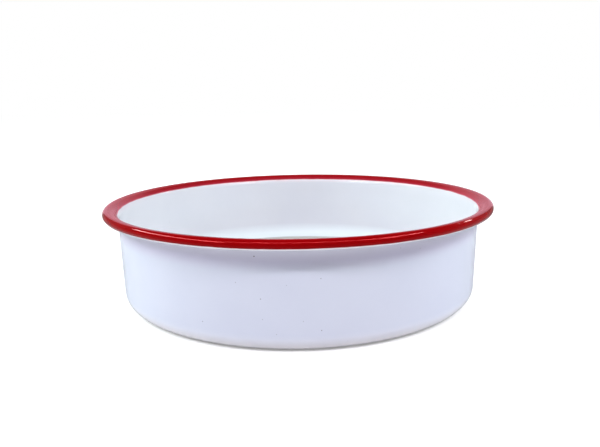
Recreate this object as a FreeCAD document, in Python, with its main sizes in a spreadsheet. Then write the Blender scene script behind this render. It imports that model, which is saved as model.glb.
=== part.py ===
import FreeCAD, Part
import math
import os

import Sketcher

# Round enamelled baking dish with a rolled rim.
#
# One round of sheet steel is pressed to a flat floor and a wall that leans out a little. At the mouth the
# sheet flares outwards to a crest, and there it is rolled over and under into a hollow bead, whose edge
# ends close to the underside of the flare. Enamel covers both faces, so the sheet thickness here is steel
# and enamel together. The whole dish is one turn of that section about the vertical axis.
#
# Frame: millimetres, +Z up, origin on the axis at the face that the dish rests on.


# Driving dimensions

SIZES = {
    "mouth_radius": (120.0, "inside radius where the straight wall ends and the rim begins"),
    "dish_height": (63.5, "resting face to the crest of the rim"),
    "wall_draft": (1.5, "lean of the wall from upright, degrees"),
    "sheet_thickness": (1.0, "steel and both coats of enamel"),
    "corner_radius": (8.5, "outside radius between floor and wall"),
    "flare_radius": (7.5, "upper radius of the turn from the wall out to the crest"),
    "bead_radius": (2.9, "outside radius of the rolled bead"),
    "edge_gap": (0.8, "gap left between the rolled edge and the underside of the flare"),
}


def size(name):
    """The plain number of one driving dimension, for placing a sketch's curves before they are solved."""
    return SIZES[name][0]


def make_sheet(doc):
    """Spreadsheet with one row for each driving dimension: its name, its value and what it measures."""
    sheet = doc.addObject("Spreadsheet::Sheet", "sizes")
    for row, (name, (value, note)) in enumerate(SIZES.items(), start=1):
        sheet.set(f"A{row}", name)
        sheet.set(f"B{row}", str(value))
        sheet.set(f"C{row}", note)
        sheet.setAlias(f"B{row}", name)
    doc.recompute()
    return sheet


def polar(centre, radius, angle):
    """Point at a radius and an angle in radians from a centre, in the plane of the section."""
    return FreeCAD.Vector(centre.x + radius * math.cos(angle), centre.y + radius * math.sin(angle), 0)


def arc(centre, radius, start, end):
    """Arc that runs anticlockwise from the start angle to the end angle, both in radians."""
    circle = Part.Circle(centre, FreeCAD.Vector(0, 0, 1), radius)
    return Part.ArcOfCircle(circle, start, end)


# Section of the sheet

def section_curves():
    """The closed outline of the sheet, as named curves in the order in which they join.

    The outline starts on the axis under the floor, follows the outside of the dish to the rolled edge,
    turns round the edge and comes back along the inside.
    """
    sheet = size("sheet_thickness")
    corner = size("corner_radius")
    flare = size("flare_radius")
    bead = size("bead_radius")
    draft = math.radians(size("wall_draft"))
    half = math.pi / 2

    # The flare leaves the wall square to the wall's lean, and its crest is straight above its centre.
    flare_start = math.pi - draft
    crest_x = size("mouth_radius") + flare * math.cos(draft)
    flare_centre = FreeCAD.Vector(crest_x, size("dish_height") - flare, 0)

    # The bead begins at the crest, so its centre is straight above the flare's. It is rolled until its
    # edge is one gap short of the flare: the centres of flare, bead and edge make a triangle of known sides.
    bead_centre = FreeCAD.Vector(crest_x, size("dish_height") - bead, 0)
    rise = flare - bead
    roll = bead - sheet / 2
    reach = flare - sheet - size("edge_gap") - sheet / 2
    turn = math.acos((reach ** 2 - rise ** 2 - roll ** 2) / (2 * rise * roll))
    bead_end = half + turn - 2 * math.pi
    edge_centre = polar(bead_centre, roll, bead_end)

    # The wall runs down from the flare to the corner, whose centre is one corner radius above the floor.
    wall_top = polar(flare_centre, flare - sheet, flare_start)
    drop = wall_top.y - corner * (1 - math.sin(draft))
    wall_foot = FreeCAD.Vector(wall_top.x - drop * math.tan(draft), wall_top.y - drop, 0)
    corner_centre = polar(wall_foot, corner, flare_start)

    origin = FreeCAD.Vector(0, 0, 0)
    axis_top = FreeCAD.Vector(0, sheet, 0)
    corner_under = FreeCAD.Vector(corner_centre.x, 0, 0)
    corner_over = FreeCAD.Vector(corner_centre.x, sheet, 0)
    inner_foot = polar(corner_centre, corner - sheet, -draft)
    inner_top = polar(flare_centre, flare, flare_start)
    return {
        "floor_under": Part.LineSegment(origin, corner_under),
        "corner_outside": arc(corner_centre, corner, -half, -draft),
        "wall_outside": Part.LineSegment(wall_foot, wall_top),
        "flare_under": arc(flare_centre, flare - sheet, half, flare_start),
        "bead_inside": arc(bead_centre, bead - sheet, bead_end, half),
        "rolled_edge": arc(edge_centre, sheet / 2, bead_end - math.pi, bead_end),
        "bead_outside": arc(bead_centre, bead, bead_end, half),
        "flare_over": arc(flare_centre, flare, half, flare_start),
        "wall_inside": Part.LineSegment(inner_top, inner_foot),
        "corner_inside": arc(corner_centre, corner - sheet, -half, -draft),
        "floor_over": Part.LineSegment(corner_over, axis_top),
        "axis_side": Part.LineSegment(axis_top, origin),
    }


# Ends of a sketch curve: its first point, its last point and an arc's centre

FIRST = 1
LAST = 2
CENTRE = 3

# The joints between neighbouring curves, each with the end that it uses, all smooth

SMOOTH_JOINTS = [
    ("floor_under", LAST, "corner_outside", FIRST),
    ("corner_outside", LAST, "wall_outside", FIRST),
    ("wall_outside", LAST, "flare_under", LAST),
    ("flare_under", FIRST, "bead_inside", LAST),
    ("bead_inside", FIRST, "rolled_edge", FIRST),
    ("rolled_edge", LAST, "bead_outside", FIRST),
    ("bead_outside", LAST, "flare_over", FIRST),
    ("flare_over", LAST, "wall_inside", FIRST),
    ("wall_inside", LAST, "corner_inside", LAST),
    ("corner_inside", FIRST, "floor_over", FIRST),
]

# Both faces of the sheet bend about the same centres

SHARED_CENTRES = [
    ("corner_outside", "corner_inside"),
    ("flare_over", "flare_under"),
    ("bead_outside", "bead_inside"),
]


def draw_section(body):
    """Sketch of the sheet's section on the body's XZ plane, held by named constraints from the sheet."""
    plane = next(f for f in body.Origin.OriginFeatures if f.Role == "XZ_Plane")
    sketch = body.newObject("Sketcher::SketchObject", "sheet_section")
    sketch.AttachmentSupport = (plane, [""])
    sketch.MapMode = "FlatFace"

    curves = section_curves()
    sketch.addGeometry(list(curves.values()), False)
    index = {name: number for number, name in enumerate(curves)}

    def fix(*arguments):
        """Adds one constraint and returns its number."""
        return sketch.addConstraint(Sketcher.Constraint(*arguments))

    def drive(name, expression, *arguments):
        """Adds one constraint, names it and binds it to the spreadsheet."""
        number = fix(*arguments)
        sketch.renameConstraint(number, name)
        sketch.setExpression(f"Constraints.{name}", expression)

    for first, first_end, second, second_end in SMOOTH_JOINTS:
        fix("Tangent", index[first], first_end, index[second], second_end)
    for outer, inner in SHARED_CENTRES:
        fix("Coincident", index[outer], CENTRE, index[inner], CENTRE)

    # The outline closes on the axis, and the floor is level.
    axis_side = index["axis_side"]
    floor_under = index["floor_under"]
    floor_over = index["floor_over"]
    fix("Coincident", floor_over, LAST, axis_side, FIRST)
    fix("Coincident", axis_side, LAST, floor_under, FIRST)
    fix("Coincident", floor_under, FIRST, -1, FIRST)
    fix("Vertical", axis_side)
    fix("Horizontal", floor_under)
    fix("Horizontal", floor_over)
    fix("Parallel", index["wall_outside"], index["wall_inside"])

    # The crest is straight above the centre of the flare.
    flare_over = index["flare_over"]
    fix("Vertical", flare_over, CENTRE, flare_over, FIRST)

    # Sizes from the spreadsheet.
    mouth = size("mouth_radius")
    thickness = size("sheet_thickness")
    drive("thickness", "sizes.sheet_thickness", "DistanceY", floor_under, FIRST, floor_over, LAST, thickness)
    drive("mouth", "sizes.mouth_radius", "DistanceX", -1, FIRST, flare_over, LAST, mouth)
    drive("crest", "sizes.dish_height", "DistanceY", -1, FIRST, flare_over, FIRST, size("dish_height"))
    for name, curve in (
        ("corner_radius", "corner_outside"),
        ("flare_radius", "flare_over"),
        ("bead_radius", "bead_outside"),
    ):
        drive(name, f"sizes.{name}", "Radius", index[curve], size(name))
    drive(
        "draft", "sizes.wall_draft * 1 deg",
        "Angle", index["wall_inside"], LAST, -2, FIRST, math.radians(size("wall_draft")),
    )
    drive(
        "edge_reach", "sizes.flare_radius - sizes.edge_gap - 1.5 * sizes.sheet_thickness",
        "Distance", flare_over, CENTRE, index["rolled_edge"], CENTRE,
        size("flare_radius") - size("edge_gap") - 1.5 * thickness,
    )
    return sketch


def make_dish(doc):
    """The dish: one full turn of the sheet's section about the vertical axis."""
    body = doc.addObject("PartDesign::Body", "dish")
    body.Label = "dish"
    body.Placement = FreeCAD.Placement()
    sketch = draw_section(body)
    doc.recompute()
    spun = body.newObject("PartDesign::Revolution", "spun_sheet")
    spun.Profile = sketch
    spun.ReferenceAxis = (sketch, ["V_Axis"])
    spun.Angle = 360
    body.Tip = spun
    doc.recompute()
    return body


def check(doc, parts):
    """Stops when an object of the document has failed or a part is not one sound solid."""
    for item in doc.Objects:
        if "Invalid" in item.State or "Error" in item.State:
            raise RuntimeError(f"{item.Name} did not rebuild: {item.State}")
    for part in parts:
        shape = part.Shape
        if shape.isNull() or not shape.isValid() or len(shape.Solids) != 1:
            raise RuntimeError(f"{part.Label} is not one sound solid")


def main():
    """Builds the dish, checks it and writes its file."""
    doc = FreeCAD.newDocument("enamel_baking_dish")
    make_sheet(doc)
    dish = make_dish(doc)
    doc.recompute()
    check(doc, [dish])
    os.makedirs("parts", exist_ok=True)
    dish.Shape.exportStep(f"parts/{dish.Label}.step")
    box = dish.Shape.optimalBoundingBox()
    print(f"{dish.Label}: {box.XLength:.2f} x {box.YLength:.2f} x {box.ZLength:.2f} mm")
    print(f"solid volume {dish.Shape.Volume / 1000:.1f} cm3")


main()
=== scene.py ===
"""Round enamelled baking dish with a rolled red rim, on a pale floor in soft studio light.

Lengths are in metres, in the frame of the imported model: +Z up, origin on the dish's axis at the face that
it rests on, and the camera on the -Y side. The dish is one sheet of steel, so it is one piece: a section of
the sheet turned once about the axis, with white enamel on both faces and a red coat over the rolled rim.
"""

import logging
import math
from dataclasses import dataclass, field
from enum import Enum

import bpy
import numpy as np
from mathutils import Matrix, Vector


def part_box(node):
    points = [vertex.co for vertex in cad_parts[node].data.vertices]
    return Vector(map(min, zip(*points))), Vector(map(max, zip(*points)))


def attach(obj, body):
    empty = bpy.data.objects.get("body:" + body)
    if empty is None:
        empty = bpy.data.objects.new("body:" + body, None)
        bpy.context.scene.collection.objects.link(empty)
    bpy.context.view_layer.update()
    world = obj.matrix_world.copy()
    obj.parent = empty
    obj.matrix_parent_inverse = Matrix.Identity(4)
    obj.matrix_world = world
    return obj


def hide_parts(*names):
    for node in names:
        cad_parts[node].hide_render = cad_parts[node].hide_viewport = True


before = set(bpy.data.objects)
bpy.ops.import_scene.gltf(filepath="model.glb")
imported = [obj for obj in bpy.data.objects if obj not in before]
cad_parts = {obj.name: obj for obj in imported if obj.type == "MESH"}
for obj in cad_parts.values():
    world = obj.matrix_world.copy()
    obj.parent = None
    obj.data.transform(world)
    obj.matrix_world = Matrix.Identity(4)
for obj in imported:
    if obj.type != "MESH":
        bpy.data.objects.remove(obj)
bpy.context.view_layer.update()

log = logging.getLogger("enamel_dish")

MM = 0.001
HALF_TURN = math.pi
QUARTER_TURN = math.pi / 2
FULL_TURN = 2 * math.pi

Colour = tuple[float, float, float]
Point = tuple[float, float]
Span = tuple[float, float]


# Shader nodes

class Graph:
    """A node tree with short calls to add its nodes and join them."""

    def __init__(self, tree: bpy.types.NodeTree) -> None:
        """Takes the tree that the nodes go into.

        Args:
            tree: the node tree of a material, a world or a group.
        """
        self.tree = tree

    def add(self, kind: str, settings: dict | None = None, inputs: dict | None = None) -> bpy.types.Node:
        """Adds one node, with its settings and its inputs.

        Args:
            kind: the node's type without the words ShaderNode.
            settings: properties of the node by name.
            inputs: values, or output sockets to be linked, by the socket's name or number.

        Returns:
            The new node.
        """
        node = self.tree.nodes.new(f"ShaderNode{kind}")
        for name, value in (settings or {}).items():
            setattr(node, name, value)
        for key, value in (inputs or {}).items():
            self.feed(node.inputs[key], value)
        return node

    def feed(self, socket: bpy.types.NodeSocket, value: object) -> None:
        """Links an output to a socket, or sets the socket's own value.

        Args:
            socket: the input socket.
            value: an output socket, a number or a colour.
        """
        if isinstance(value, bpy.types.NodeSocket):
            self.tree.links.new(value, socket)
        elif isinstance(value, tuple) and socket.type == "RGBA":
            socket.default_value = (*value, 1.0)
        else:
            socket.default_value = value

    def math(self, operation: str, first: object, second: object = 0.0) -> bpy.types.NodeSocket:
        """Output of a Math node with one or two inputs."""
        return self.add("Math", {"operation": operation}, {0: first, 1: second}).outputs[0]

    def ramp(
        self, value: object, low: float, high: float, start: float = 0.0, end: float = 1.0,
    ) -> bpy.types.NodeSocket:
        """Output of a smooth step from start to end as the value goes from low to high."""
        settings = {"interpolation_type": "SMOOTHSTEP"}
        inputs = {"Value": value, "From Min": low, "From Max": high, "To Min": start, "To Max": end}
        return self.add("MapRange", settings, inputs).outputs["Result"]

    def blend(self, share: object, first: object, second: object) -> bpy.types.NodeSocket:
        """Colour that goes from the first to the second as the share goes from 0 to 1."""
        mixed = self.add("Mix", {"data_type": "RGBA"}, {0: share, 6: first, 7: second})
        return mixed.outputs[2]

    def multiply(self, first: object, second: object) -> bpy.types.NodeSocket:
        """Product of two colours."""
        product = self.add("Mix", {"data_type": "RGBA", "blend_type": "MULTIPLY"}, {0: 1.0, 6: first, 7: second})
        return product.outputs[2]

    def noise(self, where: object, scale: float, detail: float = 2.0) -> bpy.types.NodeSocket:
        """Noise value from 0 to 1, with its scale in cells for each metre."""
        inputs = {"Vector": where, "Scale": scale, "Detail": detail, "Roughness": 0.5}
        return self.add("TexNoise", {"noise_dimensions": "3D"}, inputs).outputs["Fac"]

    def here(self) -> bpy.types.NodeSocket:
        """Place of the shaded point on its own object."""
        return self.add("TexCoord").outputs["Object"]

    def attribute(self, name: str) -> bpy.types.NodeSocket:
        """Value of one of the mesh's attributes."""
        return self.add("Attribute", {"attribute_name": name}).outputs["Fac"]

    def sight(self) -> tuple[bpy.types.NodeSocket, bpy.types.NodeSocket]:
        """Whether the eye sees a point straight, and whether gloss or glass shows it."""
        path = self.add("LightPath").outputs
        return path["Is Camera Ray"], self.math("ADD", path["Is Glossy Ray"], path["Is Transmission Ray"])


class GroupGraph(Graph):
    """A node group that several finishes place, each with its own values."""

    def __init__(self, name: str, numbers: tuple[str, ...], results: tuple[str, ...]) -> None:
        """Makes an empty group with its sockets.

        Args:
            name: the group's name.
            numbers: names of the input values.
            results: names of the output values.
        """
        super().__init__(bpy.data.node_groups.new(name, "ShaderNodeTree"))
        for word in numbers:
            self.tree.interface.new_socket(word, in_out="INPUT", socket_type="NodeSocketFloat")
        for word in results:
            self.tree.interface.new_socket(word, in_out="OUTPUT", socket_type="NodeSocketFloat")
        self.given = self.tree.nodes.new("NodeGroupInput").outputs
        self.result = self.tree.nodes.new("NodeGroupOutput").inputs

    def place(self, graph: Graph, values: dict) -> bpy.types.Node:
        """Places the group in a material.

        Args:
            graph: the material's nodes.
            values: input values by name.

        Returns:
            The group's node.
        """
        return graph.add("Group", {"node_tree": self.tree}, values)


# Cells of the coat's relief and of its scattered specks in each metre

DIMPLE_CELLS = 420.0
WAVE_CELLS = 55.0
SPECK_CELLS = 85.0

# Where a speck begins and where it is full, in cells from its middle

SPECK_SPAN = (0.034, 0.012)

# Share of a pinhole's radius in which it is full, and how deep it sinks the coat in millimetres

DOT_CORE = 0.4
HOLE_DEPTH = 0.08


def orange_peel() -> GroupGraph:
    """Height of a fired glossy coat, in millimetres: fine dimples on slow waves."""
    group = GroupGraph("orange_peel", ("Dimples", "Waves"), ("Height",))
    where = group.here()
    dimples = group.math("MULTIPLY", group.noise(where, DIMPLE_CELLS, 1.0), group.given["Dimples"])
    waves = group.math("MULTIPLY", group.noise(where, WAVE_CELLS, 0.0), group.given["Waves"])
    group.feed(group.result["Height"], group.math("ADD", dimples, waves))
    return group


@dataclass(frozen=True)
class Pinhole:
    """A pinhole in the coat of the outer wall.

    Attributes:
        turn: degrees about the axis from the camera's side towards +X.
        height: above the resting face, in millimetres.
        radius: of the dark dot, in millimetres.
        depth: share of its darkening, from 0 to 1.
    """

    turn: float
    height: float
    radius: float
    depth: float


PINHOLES = (
    Pinhole(-10.8, 52.9, 0.46, 1.0),
    Pinhole(-15.8, 38.5, 0.36, 0.50),
    Pinhole(-3.1, 37.8, 0.32, 0.42),
    Pinhole(-9.6, 30.2, 0.40, 0.75),
    Pinhole(-25.8, 14.6, 0.40, 0.65),
    Pinhole(-9.3, 19.1, 0.34, 0.50),
    Pinhole(5.2, 41.0, 0.38, 0.65),
    Pinhole(5.3, 12.8, 0.40, 0.80),
    Pinhole(-5.9, 11.0, 0.32, 0.45),
    Pinhole(0.8, 18.2, 0.34, 0.50),
)


def pinholes(section: "SheetSection") -> GroupGraph:
    """Mask of the pinholes: the larger ones at their own places, and a scatter of faint small ones.

    Args:
        section: the sheet's section, which gives the wall's radius at each pinhole.

    Returns:
        The group, whose output is 0 on the plain coat and up to 1 in a pinhole.
    """
    group = GroupGraph("pinholes", ("Scatter",), ("Mask",))
    where = group.here()
    cells = {"feature": "F1", "voronoi_dimensions": "3D"}
    scatter = group.add("TexVoronoi", cells, {"Vector": where, "Scale": SPECK_CELLS}).outputs["Distance"]
    mask = group.math("MULTIPLY", group.ramp(scatter, *SPECK_SPAN), group.given["Scatter"])
    for hole in PINHOLES:
        radius = section.wall_radius(hole.height * MM)
        turn = math.radians(hole.turn)
        centre = (radius * math.sin(turn), -radius * math.cos(turn), hole.height * MM)
        away = group.add("VectorMath", {"operation": "DISTANCE"}, {0: where, 1: centre}).outputs["Value"]
        dot = group.ramp(away, hole.radius * MM, DOT_CORE * hole.radius * MM, 0.0, hole.depth)
        mask = group.math("MAXIMUM", mask, dot)
    group.feed(group.result["Mask"], mask)
    return group


# Finishes

class Coat(Enum):
    """The two enamels, by the place of their material on the dish."""

    WHITE = 0
    RED = 1


@dataclass(frozen=True)
class WhiteEnamel:
    """Cool white enamel on both faces of the sheet.

    Attributes:
        outer: colour of the coat on the outside, bluer than the inside as painted light for the bluish fill on the
            outer wall.
        inner: colour of the coat on the inside, darker and less blue as painted shade for the lesser light inside.
        thin: what the colour is multiplied by where the coat is a little thinner.
        lit_inner: colour of painted light inside, a bright band above the floor's corner.
        lit_outer: colour of painted light outside, under the bead, on the bead's underside and on the corner.
        corner_shade: colour of painted shade, a darker ring low in the floor's corner.
        red_bounce: what the colour is multiplied by under the bead, as painted red bounce light from the bead.
        pinhole: colour of the dark ground in a pinhole.
        roughness: of the gloss.
        ior: of the glass.
        dimples: height of the fine dimples in millimetres.
        waves: height of the slow waves in millimetres.
        patch_cells: patches of thinner coat in each metre.
        specks: share of the faint scattered specks that shows.
    """

    # painted light and shade: one enamel, with the outside colour bluer and the inside one darker for the light each
    # face gets
    outer: Colour = (0.722, 0.752, 0.885)
    inner: Colour = (0.686, 0.700, 0.745)
    thin: Colour = (0.965, 0.968, 0.980)
    # painted light: a bright band inside above the floor's corner
    lit_inner: Colour = (0.885, 0.970, 1.000)
    # painted light: outside under the bead, on the bead's underside and on the corner
    lit_outer: Colour = (0.960, 0.935, 0.990)
    # painted shade: a darker ring low in the floor's corner
    corner_shade: Colour = (0.520, 0.520, 0.495)
    # painted red bounce light under the bead
    red_bounce: Colour = (1.000, 0.925, 0.978)
    pinhole: Colour = (0.130, 0.130, 0.170)
    roughness: float = 0.10
    ior: float = 1.50
    dimples: float = 0.007
    waves: float = 0.040
    patch_cells: float = 22.0
    specks: float = 0.35

    def colour(self, graph: Graph, holes: object) -> bpy.types.NodeSocket:
        """Colour of the coat: its change in thickness and its pinholes, with painted light and shade: red bounce
        light under the bead, lit bands inside and outside, and a shaded ring low in the floor's corner.

        Args:
            graph: the material's nodes.
            holes: mask of the pinholes.

        Returns:
            The colour's socket.
        """
        share = graph.ramp(graph.noise(graph.here(), self.patch_cells, 3.0), 0.30, 0.70)
        names = ("inner_face", "painted_light", "painted_corner_shade", "painted_red_bounce")
        inner, glow_share, corner_shade, bounce = (graph.attribute(name) for name in names)
        # the inside and outside colours differ as painted light and shade
        coat = graph.blend(inner, self.outer, self.inner)
        coat = graph.blend(share, graph.multiply(coat, self.thin), coat)
        # painted red bounce light on the wall under the bead
        coat = graph.blend(bounce, coat, graph.multiply(coat, self.red_bounce))
        # painted light: the lit bands inside and outside
        coat = graph.blend(glow_share, coat, graph.blend(inner, self.lit_outer, self.lit_inner))
        # painted shade: the darker ring low in the floor's corner
        coat = graph.blend(corner_shade, coat, self.corner_shade)
        return graph.blend(holes, coat, self.pinhole)


@dataclass(frozen=True)
class RedEnamel:
    """Deep red enamel over the white on the rolled rim.

    Attributes:
        plain: colour of the coat.
        sloped: colour it comes to on the inner slope of the rim, where it ran thinner.
        thin: colour of the coat near its edge, where the white shows through.
        roughness: of the gloss.
        inner_roughness: of the gloss on the inner slope.
        ior: of the glass.
        glint: colour of the gloss where the surface faces the eye.
        edge: half the width of the coat's edge in millimetres.
        slope: width over which it changes on the inner slope in millimetres.
        inner_fringe: width of the thin coat along the inner edge in millimetres.
        outer_fringe: width of the thin coat along the outer edge in millimetres.
        ragged: how far the edge wanders at small scale in millimetres.
        ragged_cells: notches of the ragged edge in each metre.
        dimples: height of the fine dimples in millimetres.
        waves: height of the slow waves in millimetres.
        specks: share of the faint scattered specks that shows.
    """

    plain: Colour = (0.285, 0.0006, 0.0018)
    sloped: Colour = (0.350, 0.0180, 0.0320)
    thin: Colour = (0.500, 0.1200, 0.1600)
    roughness: float = 0.035
    inner_roughness: float = 0.22
    ior: float = 1.57
    glint: Colour = (1.0, 0.10, 0.11)
    edge: float = 0.12
    slope: float = 5.0
    inner_fringe: float = 0.90
    outer_fringe: float = 0.25
    ragged: float = 0.04
    ragged_cells: float = 160.0
    dimples: float = 0.002
    waves: float = 0.020
    specks: float = 0.15

    def colour(self, graph: Graph, reach: object, under: object) -> bpy.types.NodeSocket:
        """Colour of the coat, paler down the inner slope and along its edges, over the white.

        Args:
            graph: the material's nodes.
            reach: how far a point lies inside the coat's edge, in millimetres.
            under: colour of the white under it.

        Returns:
            The colour's socket.
        """
        sloped = graph.blend(graph.ramp(reach, 0.0, self.slope), self.sloped, self.plain)
        inner = graph.blend(graph.ramp(reach, self.edge, self.edge + self.inner_fringe), self.thin, sloped)
        outer = graph.blend(graph.ramp(reach, self.edge, self.edge + self.outer_fringe), self.thin, self.plain)
        coat = graph.blend(graph.attribute("inner_face"), outer, inner)
        return graph.blend(graph.ramp(reach, -self.edge, self.edge), under, coat)

    def reach(self, graph: Graph) -> bpy.types.NodeSocket:
        """How far a point lies inside the coat's edge, in millimetres, with the edge a little ragged."""
        notches = graph.noise(graph.here(), self.ragged_cells, 2.0)
        wander = graph.ramp(notches, 0.25, 0.75, -self.ragged, self.ragged)
        return graph.math("ADD", graph.math("DIVIDE", graph.attribute("red_reach"), MM), wander)


@dataclass(frozen=True)
class Finishes:
    """Both enamels, and the materials that carry them.

    Attributes:
        white: the white enamel.
        red: the red enamel.
    """

    white: WhiteEnamel = WhiteEnamel()
    red: RedEnamel = RedEnamel()

    def start(self, name: str, finish: WhiteEnamel | RedEnamel) -> tuple[bpy.types.Material, Graph, bpy.types.Node]:
        """Makes a material with one shader, whose even values are on its own sockets.

        Args:
            name: the material's name.
            finish: the enamel that gives roughness and IOR.

        Returns:
            The material, its nodes and its shader.
        """
        material = bpy.data.materials.new(name)
        material.use_nodes = True
        material.node_tree.nodes.clear()
        graph = Graph(material.node_tree)
        values = {"Roughness": finish.roughness, "IOR": finish.ior}
        shader = graph.add("BsdfPrincipled", {"distribution": "MULTI_GGX"}, values)
        graph.add("OutputMaterial", {}, {"Surface": shader.outputs["BSDF"]})
        return material, graph, shader

    def relief(
        self, graph: Graph, peel: GroupGraph, holes: object, finish: WhiteEnamel | RedEnamel,
    ) -> bpy.types.NodeSocket:
        """Normal of the glossy coat: dimples and waves, sunk at the pinholes."""
        values = {"Dimples": finish.dimples, "Waves": finish.waves}
        height = peel.place(graph, values).outputs["Height"]
        sunk = graph.math("SUBTRACT", height, graph.math("MULTIPLY", holes, HOLE_DEPTH))
        return graph.add("Bump", {}, {"Strength": 1.0, "Distance": MM, "Height": sunk}).outputs["Normal"]

    def make(self, section: "SheetSection") -> dict[Coat, bpy.types.Material]:
        """Builds both materials.

        Args:
            section: the sheet's section, for the places of the pinholes.

        Returns:
            The material of each coat.
        """
        peel = orange_peel()
        holes = pinholes(section)

        white, graph, shader = self.start("white_enamel", self.white)
        mask = holes.place(graph, {"Scatter": self.white.specks}).outputs["Mask"]
        graph.feed(shader.inputs["Base Color"], self.white.colour(graph, mask))
        graph.feed(shader.inputs["Normal"], self.relief(graph, peel, mask, self.white))

        red, graph, shader = self.start("red_enamel", self.red)
        graph.feed(shader.inputs["Specular Tint"], self.red.glint)
        mask = holes.place(graph, {"Scatter": self.red.specks}).outputs["Mask"]
        coat = self.red.colour(graph, self.red.reach(graph), self.white.colour(graph, 0.0))
        graph.feed(shader.inputs["Base Color"], coat)
        roughness = graph.ramp(graph.attribute("inner_face"), 0.0, 1.0, self.red.roughness, self.red.inner_roughness)
        graph.feed(shader.inputs["Roughness"], roughness)
        graph.feed(shader.inputs["Normal"], self.relief(graph, peel, mask, self.red))
        return {Coat.WHITE: white, Coat.RED: red}


# The sheet's section

@dataclass(frozen=True)
class Straight:
    """A straight stretch of the sheet's face, from one point to another.

    Attributes:
        start: radius and height where it starts.
        end: radius and height where it ends.
        facing: direction in which the face looks, as radius and height.
        steps: number of rings on it.
    """

    start: Point
    end: Point
    facing: Point
    steps: int

    @property
    def length(self) -> float:
        """Distance from start to end."""
        return math.dist(self.start, self.end)

    def at(self, way: np.ndarray) -> np.ndarray:
        """Points at distances along the stretch, as rows of radius, height and facing."""
        share = (way / self.length)[:, None]
        points = (1 - share) * np.array(self.start) + share * np.array(self.end)
        return np.hstack([points, np.tile(self.facing, (len(way), 1))])


@dataclass(frozen=True)
class Bend:
    """A round stretch of the sheet's face: centre plus radius along an angle that runs evenly.

    Attributes:
        centre: radius and height of its centre.
        radius: of the bend.
        start: angle where it starts.
        end: angle where it ends.
        hollow: whether the face looks towards the centre.
        steps: number of rings on it.
    """

    centre: Point
    radius: float
    start: float
    end: float
    hollow: bool
    steps: int

    @property
    def length(self) -> float:
        """Length of the arc."""
        return self.radius * abs(self.end - self.start)

    def at(self, way: np.ndarray) -> np.ndarray:
        """Points at distances along the arc, as rows of radius, height and facing."""
        angle = self.start + (self.end - self.start) * way / self.length
        ray = np.column_stack([np.cos(angle), np.sin(angle)])
        return np.hstack([np.array(self.centre) + self.radius * ray, -ray if self.hollow else ray])


def polar(centre: Point, radius: float, angle: float) -> Point:
    """Point at a radius and an angle from a centre."""
    return centre[0] + radius * math.cos(angle), centre[1] + radius * math.sin(angle)


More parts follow.
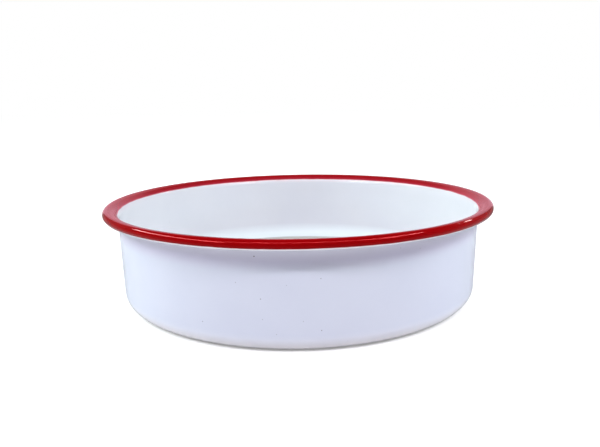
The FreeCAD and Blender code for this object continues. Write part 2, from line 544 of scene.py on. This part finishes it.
@dataclass(frozen=True)
class SheetSection:
    """Section of the sheet: flat floor, corner, leaning wall, flare, and a bead rolled over and under.

    Attributes:
        rim_radius: outside radius of the rolled bead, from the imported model.
        height: of the crest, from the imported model.
        thickness: of the steel and its enamel.
        corner: outside radius between floor and wall.
        flare: upper radius of the turn from wall to crest.
        bead: outside radius of the rolled bead.
        edge_gap: gap between the rolled edge and the flare.
        draft: lean of the wall from upright, in radians.
    """

    rim_radius: float
    height: float
    thickness: float = 1.0 * MM
    corner: float = 8.5 * MM
    flare: float = 7.5 * MM
    bead: float = 2.9 * MM
    edge_gap: float = 0.8 * MM
    draft: float = math.radians(1.5)

    @property
    def crest(self) -> float:
        """Radius of the crest."""
        return self.rim_radius - self.bead

    @property
    def flare_centre(self) -> Point:
        """Centre of the flare, straight under the crest."""
        return self.crest, self.height - self.flare

    @property
    def bead_centre(self) -> Point:
        """Centre of the bead, straight under the crest."""
        return self.crest, self.height - self.bead

    @property
    def wall_top(self) -> Point:
        """Top of the outer wall, where the flare leaves it square to its lean."""
        return polar(self.flare_centre, self.flare - self.thickness, HALF_TURN - self.draft)

    @property
    def wall_foot(self) -> Point:
        """Foot of the outer wall, where the corner takes over."""
        drop = self.wall_top[1] - self.corner * (1 - math.sin(self.draft))
        return self.wall_top[0] - drop * math.tan(self.draft), self.wall_top[1] - drop

    @property
    def corner_centre(self) -> Point:
        """Centre of the corner, one corner radius above the resting face."""
        return polar(self.wall_foot, self.corner, HALF_TURN - self.draft)

    @property
    def bead_end(self) -> float:
        """Angle at which the bead stops, one gap short of the flare.

        The centres of flare, bead and rolled edge make a triangle of known sides, and the cosine rule gives
        the turn at the bead's centre.
        """
        rise = self.flare - self.bead
        roll = self.bead - self.thickness / 2
        reach = self.flare - self.thickness - self.edge_gap - self.thickness / 2
        turn = math.acos((reach ** 2 - rise ** 2 - roll ** 2) / (2 * rise * roll))
        return QUARTER_TURN + turn - FULL_TURN

    def wall_radius(self, height: float) -> float:
        """Radius of the outer wall at a height."""
        return self.wall_foot[0] + (height - self.wall_foot[1]) * math.tan(self.draft)

    def outside(self) -> list[Straight | Bend]:
        """Stretches from the crest over the bead, round its edge, and down the outside to the axis."""
        half = self.thickness / 2
        edge = polar(self.bead_centre, self.bead - half, self.bead_end)
        facing = (math.cos(self.draft), -math.sin(self.draft))
        return [
            Bend(self.bead_centre, self.bead, QUARTER_TURN, self.bead_end, False, 54),
            Bend(edge, half, self.bead_end, self.bead_end - HALF_TURN, False, 10),
            Bend(self.bead_centre, self.bead - self.thickness, self.bead_end, QUARTER_TURN, True, 22),
            Bend(self.flare_centre, self.flare - self.thickness, QUARTER_TURN, HALF_TURN - self.draft, True, 12),
            Straight(self.wall_top, self.wall_foot, facing, 24),
            Bend(self.corner_centre, self.corner, -self.draft, -QUARTER_TURN, False, 16),
            Straight((self.corner_centre[0], 0.0), (0.0, 0.0), (0.0, -1.0), 18),
        ]

    def inside(self) -> list[Straight | Bend]:
        """Stretches from the crest over the flare and down the inside to the axis."""
        inner_top = polar(self.flare_centre, self.flare, HALF_TURN - self.draft)
        inner_foot = polar(self.corner_centre, self.corner - self.thickness, -self.draft)
        facing = (-math.cos(self.draft), math.sin(self.draft))
        floor = self.thickness
        return [
            Bend(self.flare_centre, self.flare, QUARTER_TURN, HALF_TURN - self.draft, False, 24),
            Straight(inner_top, inner_foot, facing, 24),
            Bend(self.corner_centre, self.corner - self.thickness, -self.draft, -QUARTER_TURN, True, 16),
            Straight((self.corner_centre[0], floor), (0.0, floor), (0.0, 1.0), 18),
        ]


def trace(stretches: list[Straight | Bend], extra: np.ndarray) -> tuple[np.ndarray, np.ndarray]:
    """Rings along joined stretches: even steps on each, and extra ones where they are asked for.

    Args:
        stretches: in the order in which they join.
        extra: more distances from the first stretch's start.

    Returns:
        The rings' distances from the start, and their rows of radius, height and facing.
    """
    ends = np.cumsum([0.0] + [stretch.length for stretch in stretches])
    steps = [np.linspace(a, b, stretch.steps + 1) for a, b, stretch in zip(ends, ends[1:], stretches)]
    way = np.unique(np.round(np.concatenate([*steps, extra]), 8))
    which = np.clip(np.searchsorted(ends, way, side="right") - 1, 0, len(stretches) - 1)
    rows = [stretch.at(way[which == i] - ends[i]) for i, stretch in enumerate(stretches)]
    return way, np.vstack(rows)


# The dish

# Numbers of waves round the axis in each kind of unevenness

INNER_EDGE_LOBES = np.arange(5.0, 70.0, 4.0)
OUTER_EDGE_LOBES = np.arange(4.0, 60.0, 5.0)
ROUND_LOBES = np.array([2.0, 3.0, 5.0])
WALL_LOBES = np.array([7.0, 11.0, 16.0])
LEVEL_LOBES = np.array([2.0, 4.0])


def fade(value: np.ndarray, start: float, end: float) -> np.ndarray:
    """Straight ramp that is 0 up to the start and 1 from the end on."""
    return np.clip((value - start) / (end - start), 0, 1)


@dataclass
class Dish:
    """The enamelled dish: the sheet's section turned once about the axis.

    Attributes:
        section: of the sheet.
        red_inside: length of the red coat from the crest down the inside.
        red_outside: length of the red coat from the crest round the outside of the bead.
        red_step: height of the red coat's step above the white.
        step_width: width of the step.
        step_fade: distance over which the white comes up again beside it.
        wander: how far the red coat's edge wanders round the rim.
        out_of_round: how far the rim is out of round.
        out_of_level: how far the rim dips.
        dents: depth of the slow waves in the wall.
        inner_glow_span: heights at which the painted light inside begins and is full.
        corner_shade_span: heights, low in the floor's corner, at which the painted light gives way to the ring of
            painted shade.
        corner_shade_edge: half the width of the painted shade ring's edge on the floor.
        bounce_span: distances under the crest at which the painted red bounce light begins and is full on the outer
            wall.
        bounce_end: distances under the crest at which it has ended and at which it is still full.
        rim_glow: share of painted light on the outer wall, close under the bead.
        rim_glow_span: distances under the crest at which that share begins and is reached.
        bead_glow: share of painted light on the underside of the bead.
        bead_margin: how far it goes under the red coat, and how far from the wall it ends.
        foot_glow: share of painted light on the outside of the floor's corner.
        foot_glow_span: heights at which that share begins and is reached.
        turns: number of steps round the axis.
        seed: of the irregularities.
    """

    section: SheetSection
    red_inside: float = 7.775 * MM
    red_outside: float = 6.28 * MM
    red_step: float = 0.06 * MM
    step_width: float = 0.2 * MM
    step_fade: float = 2 * MM
    wander: float = 0.13 * MM
    out_of_round: float = 0.10 * MM
    out_of_level: float = 0.08 * MM
    dents: float = 0.05 * MM
    # painted light inside above the floor's corner
    inner_glow_span: Span = (20.5 * MM, 11.64 * MM)
    # painted shade ring low in the floor's corner
    corner_shade_span: Span = (8.1 * MM, 7.1 * MM)
    corner_shade_edge: float = 2 * MM
    # painted red bounce light under the bead
    bounce_span: Span = (6 * MM, 10 * MM)
    bounce_end: Span = (19 * MM, 14 * MM)
    # painted light outside: under the bead, on its underside and on the corner
    rim_glow: float = 0.35
    rim_glow_span: Span = (13 * MM, 8 * MM)
    bead_glow: float = 1.0
    bead_margin: float = 1 * MM
    foot_glow: float = 1.0
    foot_glow_span: Span = (9 * MM, 3 * MM)
    turns: int = 320
    seed: int = 7
    random: np.random.Generator = field(init=False)

    def __post_init__(self) -> None:
        """Starts the seeded random numbers."""
        self.random = np.random.default_rng(self.seed)

    def ripple(self, azimuth: np.ndarray, lobes: np.ndarray) -> np.ndarray:
        """Sum of cosine waves round the axis, one for each number of lobes, scaled to run from -1 to 1."""
        phase = self.random.uniform(0, FULL_TURN, len(lobes))
        weight = self.random.uniform(0.5, 1.0, len(lobes)) / np.sqrt(lobes)
        waves = (weight[:, None] * np.cos(lobes[:, None] * azimuth + phase[:, None])).sum(0)
        return waves / np.abs(waves).max()

    def shortfall(self, azimuth: np.ndarray, lobes: np.ndarray) -> np.ndarray:
        """The same waves turned over and scaled to run from 0 to 1, for what only ever takes away."""
        return (1 - self.ripple(azimuth, lobes)) / 2

    def rings(self) -> tuple[np.ndarray, np.ndarray]:
        """Rings from the floor's middle inside, over the crest, to the floor's middle underneath.

        Returns:
            Distances along the face from the crest, negative inside, and rows of radius, height and facing.
        """
        fine = np.linspace(-1.2 * MM, 1.2 * MM, 13)
        outer_way, outer = trace(self.section.outside(), self.red_outside + fine)
        inner_way, inner = trace(self.section.inside(), self.red_inside + fine)
        return np.concatenate([-inner_way[::-1], outer_way[1:]]), np.vstack([inner[::-1], outer[1:]])

    def reach(self, way: np.ndarray, azimuth: np.ndarray) -> np.ndarray:
        """How far each point lies inside the red coat's edges, negative on the white.

        Args:
            way: distances along the face from the crest, negative inside.
            azimuth: of each step round the axis.

        Returns:
            Metres by ring and azimuth.
        """
        inner_edge = self.wander * self.ripple(azimuth, INNER_EDGE_LOBES)
        outer_edge = self.wander * self.ripple(azimuth, OUTER_EDGE_LOBES)
        along = way[:, None]
        return np.minimum(along + self.red_inside + inner_edge, self.red_outside - along + outer_edge)

    def points(self, rows: np.ndarray, azimuth: np.ndarray, reach: np.ndarray) -> np.ndarray:
        """Points of the surface: each ring's radius and height, turned by the azimuth.

        The rim's radius and height give way by ripples with few lobes, the wall by ripples that fade to its
        ends, and the white beside the red coat is sunk by the coat's step, which fades away from the edge.

        Args:
            rows: radius, height and facing of each ring.
            azimuth: of each step round the axis.
            reach: how far each point lies inside the red coat's edges.

        Returns:
            Points by ring and azimuth.
        """
        radius, height, out, up = (column[:, None] for column in rows.T)
        sunk = self.red_step * fade(-reach, 0, self.step_width) * np.exp(np.minimum(reach, 0) / self.step_fade)
        level = height / self.section.height
        give = self.out_of_round * self.shortfall(azimuth, ROUND_LOBES) * level
        dent = self.dents * self.shortfall(azimuth, WALL_LOBES) * np.sin(HALF_TURN * np.clip(level, 0, 1))
        dip = self.out_of_level * self.shortfall(azimuth, LEVEL_LOBES) * level ** 3
        spread = radius - sunk * out - (give + dent) * np.clip(radius / self.section.crest, 0, 1)
        lift = height - sunk * up - dip
        return np.stack([spread * np.sin(azimuth), -spread * np.cos(azimuth), lift + 0 * azimuth], axis=-1)

    def painted_shares(self, way: np.ndarray, rows: np.ndarray) -> tuple[np.ndarray, np.ndarray]:
        """Where painted light brightens the white coat, and where painted shade darkens it, ring by ring.

        Inside, the painted light lies above the floor's corner, and the ring of painted shade lies below it in the
        corner. Outside, the painted light lies on the bead's underside, under the bead on the wall, and on the
        corner.

        Args:
            way: distances along the face from the crest, negative inside.
            rows: radius, height and facing of each ring.

        Returns:
            Shares of the painted light and of the painted shade.
        """
        radius, height = rows[:, 0], rows[:, 1]
        below = self.section.height - height
        inside = way < 0
        low = height < self.section.height / 2
        corner_edge = self.section.corner_centre[0]
        # painted shade: ring low in the floor's corner
        corner_shade = fade(height, *self.corner_shade_span)
        ring = fade(radius, corner_edge - self.corner_shade_edge, corner_edge + self.corner_shade_edge)
        # painted light inside above the corner, held off the ring of painted shade
        inner_glow = low * fade(height, *self.inner_glow_span) * (1 - corner_shade)

        # painted light outside: the bead's underside, the wall under it, and the corner
        bead = (way > self.red_outside - self.bead_margin) & (height > self.section.wall_top[1] + self.bead_margin)
        upper_glow = np.where(bead, self.bead_glow, self.rim_glow * fade(below, *self.rim_glow_span))
        outer_glow = np.where(low, self.foot_glow * fade(height, *self.foot_glow_span), upper_glow)
        return np.where(inside, inner_glow, outer_glow), inside * low * corner_shade * ring

    def bounce(self, way: np.ndarray, rows: np.ndarray) -> np.ndarray:
        """Share of painted red bounce light on the outer wall, in a band under the bead, ring by ring."""
        below = self.section.height - rows[:, 1]
        return (way > 0) * fade(below, *self.bounce_span) * fade(below, *self.bounce_end)

    def build(self, finishes: dict[Coat, bpy.types.Material]) -> bpy.types.Object:
        """Makes the dish's mesh with its attributes and gives it its materials.

        Args:
            finishes: the material of each coat.

        Returns:
            The finished object.
        """
        way, rows = self.rings()
        azimuth = np.linspace(0, FULL_TURN, self.turns, endpoint=False)
        reach = self.reach(way, azimuth)
        piece = self.skin("enamelled_dish", self.points(rows, azimuth, reach))

        # painted light, painted shade and painted red bounce light, stored on the mesh for the white coat
        glow_share, corner_shade = self.painted_shares(way, rows)
        shares = {"painted_light": glow_share, "painted_corner_shade": corner_shade, "painted_red_bounce": self.bounce(way, rows), "inner_face": way < 0}
        self.mark(piece, "red_reach", reach)
        for name, share in shares.items():
            self.mark(piece, name, np.tile(share[:, None], self.turns))

        for coat in Coat:
            piece.data.materials.append(finishes[coat])
        near_red = reach.max(axis=1) > -1.0 * MM
        band = np.where(near_red[1:] & near_red[:-1], Coat.RED.value, Coat.WHITE.value)
        piece.data.polygons.foreach_set("material_index", np.repeat(band, self.turns).astype(np.int32))
        piece.data.update()
        return piece

    def skin(self, name: str, grid: np.ndarray) -> bpy.types.Object:
        """Makes a closed mesh from rings of points whose first and last ring are one point on the axis.

        Each face joins two rings and two neighbouring azimuths, and at a pole it has three corners.

        Args:
            name: the object's name.
            grid: points by ring and azimuth.

        Returns:
            The object, smooth shaded.
        """
        rings, turns = grid.shape[:2]
        points = np.vstack([grid[0, :1], grid[1:-1].reshape(-1, 3), grid[-1, :1]])
        number = 1 + np.arange((rings - 2) * turns).reshape(rings - 2, turns)
        following = np.roll(number, -1, axis=1)
        last = len(points) - 1
        quads = np.stack([number[:-1], number[1:], following[1:], following[:-1]], axis=-1).reshape(-1, 4)
        top = np.stack([np.zeros(turns, int), number[0], following[0]], axis=-1)
        bottom = np.stack([number[-1], np.full(turns, last), following[-1]], axis=-1)
        corners = np.concatenate([top.ravel(), quads.ravel(), bottom.ravel()]).astype(np.int32)
        sides = np.concatenate([np.full(turns, 3), np.full(len(quads), 4), np.full(turns, 3)])
        starts = np.concatenate([[0], np.cumsum(sides)[:-1]]).astype(np.int32)

        mesh = bpy.data.meshes.new(name)
        mesh.vertices.add(len(points))
        mesh.vertices.foreach_set("co", points.ravel())
        mesh.loops.add(len(corners))
        mesh.loops.foreach_set("vertex_index", corners)
        mesh.polygons.add(len(sides))
        mesh.polygons.foreach_set("loop_start", starts)
        mesh.polygons.foreach_set("use_smooth", np.ones(len(sides), bool))
        mesh.update(calc_edges=True)
        mesh.validate()
        piece = bpy.data.objects.new(name, mesh)
        bpy.context.scene.collection.objects.link(piece)
        return piece

    def mark(self, piece: bpy.types.Object, name: str, values: np.ndarray) -> None:
        """Stores one value for each point of the mesh.

        Args:
            piece: the object.
            name: the attribute's name.
            values: by ring and azimuth.
        """
        flat = np.concatenate([values[0, :1], values[1:-1].ravel(), values[-1, :1]])
        attribute = piece.data.attributes.new(name, "FLOAT", "POINT")
        attribute.data.foreach_set("value", flat.astype(np.float32))


# Stage, lights and camera

# Power of a lamp for each square metre of its face that makes the face as bright as white

WHITE_FACE = 4.0


@dataclass(frozen=True)
class Lamp:
    """A rectangular soft light that faces the dish.

    Attributes:
        name: of the light.
        turn: degrees about the axis from the camera's side towards +X.
        rise: degrees above the floor.
        distance: from the dish.
        width: along the floor.
        tall: across the width.
        radiance: brightness of its face, where 1 is white.
        tint: colour of its light.
        mirrored: whether gloss shows it.
        lighting: whether it lights surfaces.
    """

    name: str
    turn: float
    rise: float
    distance: float
    width: float
    tall: float
    radiance: float
    tint: Colour = (1.0, 1.0, 1.0)
    mirrored: bool = True
    lighting: bool = True

    def build(self, target: Vector) -> None:
        """Hangs the light so that it faces the target, with its width level."""
        turn = math.radians(self.turn)
        rise = math.radians(self.rise)
        away = Vector((math.sin(turn) * math.cos(rise), -math.cos(turn) * math.cos(rise), math.sin(rise)))
        light = bpy.data.lights.new(self.name, "AREA")
        light.shape = "RECTANGLE"
        light.size = self.width
        light.size_y = self.tall
        light.energy = WHITE_FACE * self.radiance * self.width * self.tall
        light.color = self.tint
        lamp = bpy.data.objects.new(self.name, light)
        lamp.location = target + self.distance * away
        lamp.rotation_euler = away.to_track_quat("Z", "Y").to_euler()
        lamp.visible_camera = False
        lamp.visible_glossy = self.mirrored
        lamp.visible_diffuse = self.lighting
        bpy.context.scene.collection.objects.link(lamp)


@dataclass(frozen=True)
class Studio:
    """Pale floor, white surroundings and soft lights.

    Attributes:
        lamps: the soft lights.
        backdrop: colour of the surroundings to the eye.
        horizon: their colour level with the floor, in the gloss.
        middle: their colour some way up, in the gloss.
        overhead: their colour overhead, in the gloss.
        middle_span: sines of the rise between which horizon turns into middle.
        overhead_span: sines of the rise between which middle turns into overhead.
        floor_colour: of the floor.
        near_glow: share of white that the floor near the dish shows to the eye beside its own shading.
        far_glow: the same far from the dish, where the lamps' light ends.
        glow_span: distances from the dish's axis between which one turns into the other.
        mirrored_floor: colour in the gloss of the floor near the dish.
        mirrored_far: colour in the gloss of the floor farther away.
        mirrored_span: distances from the dish's axis between which one turns into the other.
        mirrored_glow: share of white that the floor shows in the gloss.
        contact_glow: what is left of both glows where the dish touches the floor.
        contact_reach: how far from the dish it fades.
        open_span: shares of open sky over the floor between which it fades.
        sky_samples: number of rays that find the open sky.
        floor_half: half the floor's side.
    """

    lamps: tuple[Lamp, ...] = (
        Lamp("front_strip", 0.0, 51.5, 1.0, 2.0, 0.06, 19.0, (1.00, 0.95, 0.98)),
        Lamp("left_strip", -79.0, 38.0, 1.0, 1.2, 0.09, 12.6, (0.92, 0.97, 1.0)),
        Lamp("right_strip", 62.0, 44.0, 1.0, 0.55, 0.05, 23.0, (0.90, 0.95, 1.0)),
        Lamp("right_spot", 123.0, 30.0, 1.0, 0.05, 0.08, 24.0),
        Lamp("left_box", -106.0, 24.0, 1.0, 0.6, 0.5, 4.3, (0.86, 1.0, 0.92), mirrored=False),
        Lamp("right_box", 100.0, 24.0, 1.0, 0.6, 0.5, 4.2, (0.92, 1.0, 0.99), mirrored=False),
        Lamp("back_panel", 180.0, 30.0, 1.3, 2.4, 0.8, 0.5, mirrored=False),
        Lamp("left_rear", -152.0, 20.0, 1.0, 0.6, 0.5, 3.0, (0.90, 1.0, 0.96), mirrored=False),
        Lamp("right_rear", 145.0, 20.0, 1.0, 0.6, 0.5, 0.6, (0.92, 1.0, 0.99), mirrored=False),
        Lamp("back_card", 180.0, 16.5, 0.470, 0.84, 0.34, 0.52, (1.0, 0.64, 0.83), lighting=False),
    )
    backdrop: Colour = (1.0, 1.0, 1.0)
    horizon: Colour = (0.40, 0.38, 0.40)
    middle: Colour = (0.14, 0.12, 0.13)
    overhead: Colour = (0.03, 0.03, 0.03)
    middle_span: Span = (0.02, 0.10)
    overhead_span: Span = (0.40, 0.72)
    floor_colour: Colour = (0.66, 0.66, 0.66)
    near_glow: float = 0.46
    far_glow: float = 1.00
    glow_span: Span = (0.4, 1.5)
    mirrored_floor: Colour = (0.40, 0.40, 0.42)
    mirrored_far: Colour = (0.14, 0.12, 0.13)
    mirrored_span: Span = (0.22, 0.34)
    mirrored_glow: float = 0.06
    contact_glow: float = 0.62
    contact_reach: float = 20 * MM
    open_span: Span = (0.10, 0.90)
    sky_samples: int = 16
    floor_half: float = 6.0

    def build(self, target: Vector) -> None:
        """Makes the floor, the surroundings and the lights."""
        self.lay_floor()
        self.fill_surroundings()
        for lamp in self.lamps:
            lamp.build(target)
            log.info("light %s", lamp.name)

    def lay_floor(self) -> None:
        """Makes the floor: a matt surface that keeps the shadow, with a white glow for the eye and the gloss.

        The glow fades close to the dish, by the share of the sky that the dish hides from the floor there.
        """
        half = self.floor_half
        mesh = bpy.data.meshes.new("floor")
        corners = [(-half, -half, 0.0), (half, -half, 0.0), (half, half, 0.0), (-half, half, 0.0)]
        mesh.from_pydata(corners, [], [(0, 1, 2, 3)])
        floor = bpy.data.objects.new("floor", mesh)
        bpy.context.scene.collection.objects.link(floor)
        material = bpy.data.materials.new("pale_floor")
        material.use_nodes = True
        material.node_tree.nodes.clear()
        graph = Graph(material.node_tree)
        eye, mirrored = graph.sight()
        away = graph.add("VectorMath", {"operation": "LENGTH"}, {0: graph.here()}).outputs["Value"]
        in_gloss = graph.blend(graph.ramp(away, *self.mirrored_span), self.mirrored_floor, self.mirrored_far)
        matt = graph.add("BsdfDiffuse", {}, {"Color": graph.blend(mirrored, self.floor_colour, in_gloss)})

        level = graph.ramp(away, *self.glow_span, self.near_glow, self.far_glow)
        to_gloss = graph.math("MULTIPLY", mirrored, self.mirrored_glow)
        white = graph.math("ADD", graph.math("MULTIPLY", eye, level), to_gloss)
        reach = {"Distance": self.contact_reach}
        open_sky = graph.add("AmbientOcclusion", {"samples": self.sky_samples}, reach).outputs["AO"]
        left = graph.ramp(open_sky, *self.open_span, self.contact_glow, 1.0)
        glow = graph.add("Emission", {}, {"Strength": graph.math("MULTIPLY", white, left)})
        both = graph.add("AddShader", {}, {0: matt.outputs[0], 1: glow.outputs[0]})
        graph.add("OutputMaterial", {}, {"Surface": both.outputs[0]})
        mesh.materials.append(material)
        log.info("floor laid")

    def fill_surroundings(self) -> None:
        """Makes the surroundings: white to the eye, and in the gloss dim at the horizon and dimmer above."""
        world = bpy.data.worlds.new("surroundings")
        bpy.context.scene.world = world
        world.use_nodes = True
        world.node_tree.nodes.clear()
        graph = Graph(world.node_tree)
        direction = graph.add("TexCoord").outputs["Generated"]
        height = graph.add("SeparateXYZ", {}, {0: direction}).outputs["Z"]
        lower = graph.blend(graph.ramp(height, *self.middle_span), self.horizon, self.middle)
        shade = graph.blend(graph.ramp(height, *self.overhead_span), lower, self.overhead)
        eye, mirrored = graph.sight()
        in_gloss = graph.add("Background", {}, {"Color": shade, "Strength": mirrored})
        white = graph.add("Background", {}, {"Color": self.backdrop, "Strength": 1.0})
        both = graph.add("MixShader", {}, {0: eye, 1: in_gloss.outputs[0], 2: white.outputs[0]})
        graph.add("OutputWorld", {}, {"Surface": both.outputs[0]})
        log.info("surroundings filled")


@dataclass(frozen=True)
class Viewpoint:
    """The camera, where the photograph's was.

    Attributes:
        distance: from the origin.
        rise: of the camera above the floor, as an angle at the origin.
        yaw: of its aim from +Y towards +X.
        pitch: of its aim below level.
        roll: about its aim.
        focal_pixels: focal length in pixels of a picture as wide as below.
        width_pixels: of that picture.
    """

    distance: float = 423.9 * MM
    rise: float = 0.3096
    yaw: float = 0.003
    pitch: float = 0.2067
    roll: float = -0.0179
    focal_pixels: float = 585.0
    width_pixels: float = 600.0

    def build(self) -> None:
        """Sets up the camera and makes it the scene's.

        The aim is the unit vector at the yaw and pitch, right is level and square to it, and up is right
        cross aim. The roll turns right and up about the aim.
        """
        ahead = Vector((math.sin(self.yaw), math.cos(self.yaw), 0.0))
        aim = math.cos(self.pitch) * ahead - math.sin(self.pitch) * Vector((0.0, 0.0, 1.0))
        level = Vector((math.cos(self.yaw), -math.sin(self.yaw), 0.0))
        upright = level.cross(aim)
        right = math.cos(self.roll) * level + math.sin(self.roll) * upright
        up = right.cross(aim)
        lens = bpy.data.cameras.new("camera")
        lens.sensor_fit = "HORIZONTAL"
        lens.sensor_width = 36.0
        lens.lens = lens.sensor_width * self.focal_pixels / self.width_pixels
        lens.clip_start = 10 * MM
        camera = bpy.data.objects.new("camera", lens)
        turn = Matrix((right, up, -aim)).transposed().to_4x4()
        place = Vector((0.0, -self.distance * math.cos(self.rise), self.distance * math.sin(self.rise)))
        camera.matrix_world = Matrix.Translation(place) @ turn
        bpy.context.scene.collection.objects.link(camera)
        bpy.context.scene.camera = camera


def main() -> None:
    """Builds the dish, the studio and the camera in order."""
    logging.basicConfig(level=logging.INFO, format="%(name)s: %(message)s")
    low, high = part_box("dish")
    section = SheetSection(rim_radius=min(-low[0], -low[1], high[0], high[1]), height=high[2])
    dish = Dish(section)
    piece = dish.build(Finishes().make(section))
    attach(piece, "root")
    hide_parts("dish")
    log.info("%s: %d faces", piece.name, len(piece.data.polygons))

    Studio().build(Vector((0.0, 0.0, section.height / 2)))
    Viewpoint().build()
    bpy.context.scene.view_settings.view_transform = "Standard"


if __name__ == "__main__":
    main()
